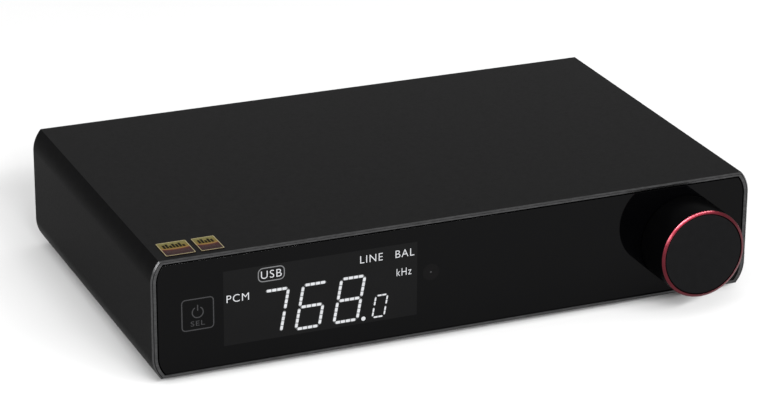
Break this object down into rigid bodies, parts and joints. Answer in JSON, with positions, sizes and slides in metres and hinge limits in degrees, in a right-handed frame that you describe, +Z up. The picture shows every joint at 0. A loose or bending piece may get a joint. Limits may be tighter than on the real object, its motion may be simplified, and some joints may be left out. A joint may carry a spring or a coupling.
{
  "type": "desktop digital-to-analogue converter",
  "caption": "Flat black desktop audio converter: rounded aluminium sleeve, glossy front with segment display and touch key, red-ringed knob that turns and pushes, rear sockets.",
  "frame": {"origin": "on the standing surface, under the middle of the overall box, knob and rear jacks included", "axes": "+X to the right seen from the front, +Y to the back, +Z up"},
  "size_m": [0.2, 0.1448, 0.0404],
  "materials": {
    "casing": "fine-blasted black anodised",
    "satin_metal": "satin black anodised",
    "knob_metal": "smooth satin black anodised",
    "red_anodised": "polished red anodised chamfer",
    "front_gloss": "high gloss black",
    "display": "dark display face with white segments",
    "black_plastic": "fine-textured moulding",
    "white_plastic": "smooth moulding",
    "red_plastic": "smooth moulding",
    "orange_plastic": "smooth moulding",
    "circuit_board": "solder resist over laminate",
    "chip": "matt moulding compound",
    "ribbon": "ribbed flat cable",
    "bright_metal": "nickel plated",
    "gold": "gold plated",
    "dark_screw": "black oxide",
    "rubber": "matt moulded rubber",
    "foil": "metallic foil sticker"
  },
  "bodies": {
    "chassis": {"antenna_connector": "gold", "balanced_out_left_insert": "black_plastic", "balanced_out_left_shell": "bright_metal", "balanced_out_right_insert": "black_plastic", "balanced_out_right_shell": "bright_metal", "casing_sleeve": "casing", "coaxial_in_barrel": "gold", "coaxial_in_insulator": "orange_plastic", "converter_chip": "chip", "display_module": "display", "encoder_body": "black_plastic", "encoder_nut": "bright_metal", "foil_label_large": "foil", "foil_label_small": "foil", "foot_front_left": "rubber", "foot_front_right": "rubber", "foot_rear_left": "rubber", "foot_rear_right": "rubber", "front_board": "circuit_board", "front_frame": "satin_metal", "front_lens": "front_gloss", "front_screw_lower_left": "dark_screw", "front_screw_lower_right": "dark_screw", "front_screw_upper_left": "dark_screw", "front_screw_upper_right": "dark_screw", "infrared_receiver": "black_plastic", "line_out_left_barrel": "gold", "line_out_left_insulator": "white_plastic", "line_out_right_barrel": "gold", "line_out_right_insulator": "red_plastic", "main_board": "circuit_board", "mains_capacitor": "black_plastic", "mains_inlet": "black_plastic", "mains_pin_left": "bright_metal", "mains_pin_right": "bright_metal", "optical_socket": "black_plastic", "output_relay": "black_plastic", "power_board": "circuit_board", "processor_chip": "chip", "rear_panel": "casing", "rear_screw_lower_left": "dark_screw", "rear_screw_lower_right": "dark_screw", "rear_screw_upper_left": "dark_screw", "rear_screw_upper_right": "dark_screw", "ribbon_cable": "ribbon", "smoothing_capacitor": "black_plastic", "touch_sensor_block": "black_plastic", "transformer": "black_plastic", "trigger_in_socket": "black_plastic", "trigger_out_socket": "black_plastic", "usb_socket": "bright_metal", "usb_tongue": "white_plastic", "wireless_module": "bright_metal"},
    "push_plunger": {"switch_plunger": "white_plastic"},
    "knob": {"encoder_shaft": "bright_metal", "knob_body": "knob_metal", "knob_ring": "red_anodised", "knob_face": "knob_metal", "knob_set_screw": "dark_screw"},
    "shutter_flap": {"optical_shutter": "black_plastic"}
  },
  "joints": [
    {"name": "knob_push", "type": "slide", "parent": "chassis", "child": "push_plunger", "axis": [0, 1, 0], "range_m": [0, 0.0005], "stiffness_N_per_m": 1500, "springref_m": -0.0015},
    {"name": "knob_spin", "type": "hinge", "parent": "push_plunger", "child": "knob", "pos_m": [0.0764, -0.05735, 0.0211], "axis": [0, 1, 0], "continuous": true},
    {"name": "shutter_hinge", "type": "hinge", "parent": "chassis", "child": "shutter_flap", "pos_m": [0.0045, 0.06305, 0.0204], "axis": [-1, 0, 0], "range_deg": [0, 80], "stiffness_Nm_per_rad": 0.00005, "springref_deg": -45.84}
  ]
}
